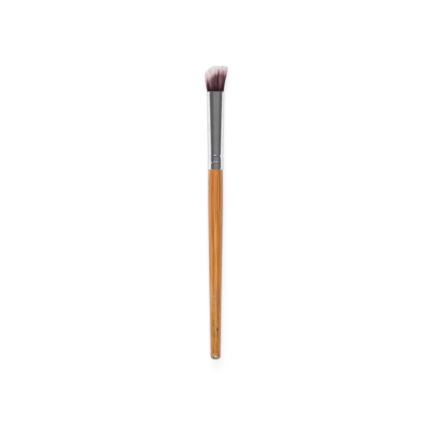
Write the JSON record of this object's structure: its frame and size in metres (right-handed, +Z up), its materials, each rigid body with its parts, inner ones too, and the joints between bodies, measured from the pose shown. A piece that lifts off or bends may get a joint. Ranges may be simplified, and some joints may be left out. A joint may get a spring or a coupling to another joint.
{
  "type": "eyeshadow brush",
  "caption": "Slim eyeshadow brush: tapered bamboo handle, crimped aluminium ferrule flattened to an oval mouth, and a flared, slant-cut tuft of two-tone filaments.",
  "frame": {"origin": "on the surface that the brush lies on, under the middle of its length and width", "axes": "+Y along the brush from the butt to the tuft, +X across the wide way of the tuft towards its longer side, +Z up"},
  "size_m": [0.0119, 0.1598, 0.0085],
  "materials": {
    "bamboo": "satin clear lacquer over turned bamboo",
    "ferrule_metal": "smooth drawn aluminium",
    "adhesive": "hardened adhesive",
    "filament": "soft synthetic filament, plum at the root and white at the tip"
  },
  "bodies": {
    "root": {"handle": "bamboo", "ferrule": "ferrule_metal", "tenon_glue": "adhesive", "root_block": "adhesive", "filaments_inner": "filament", "filaments_outer": "filament"}
  },
  "joints": []
}
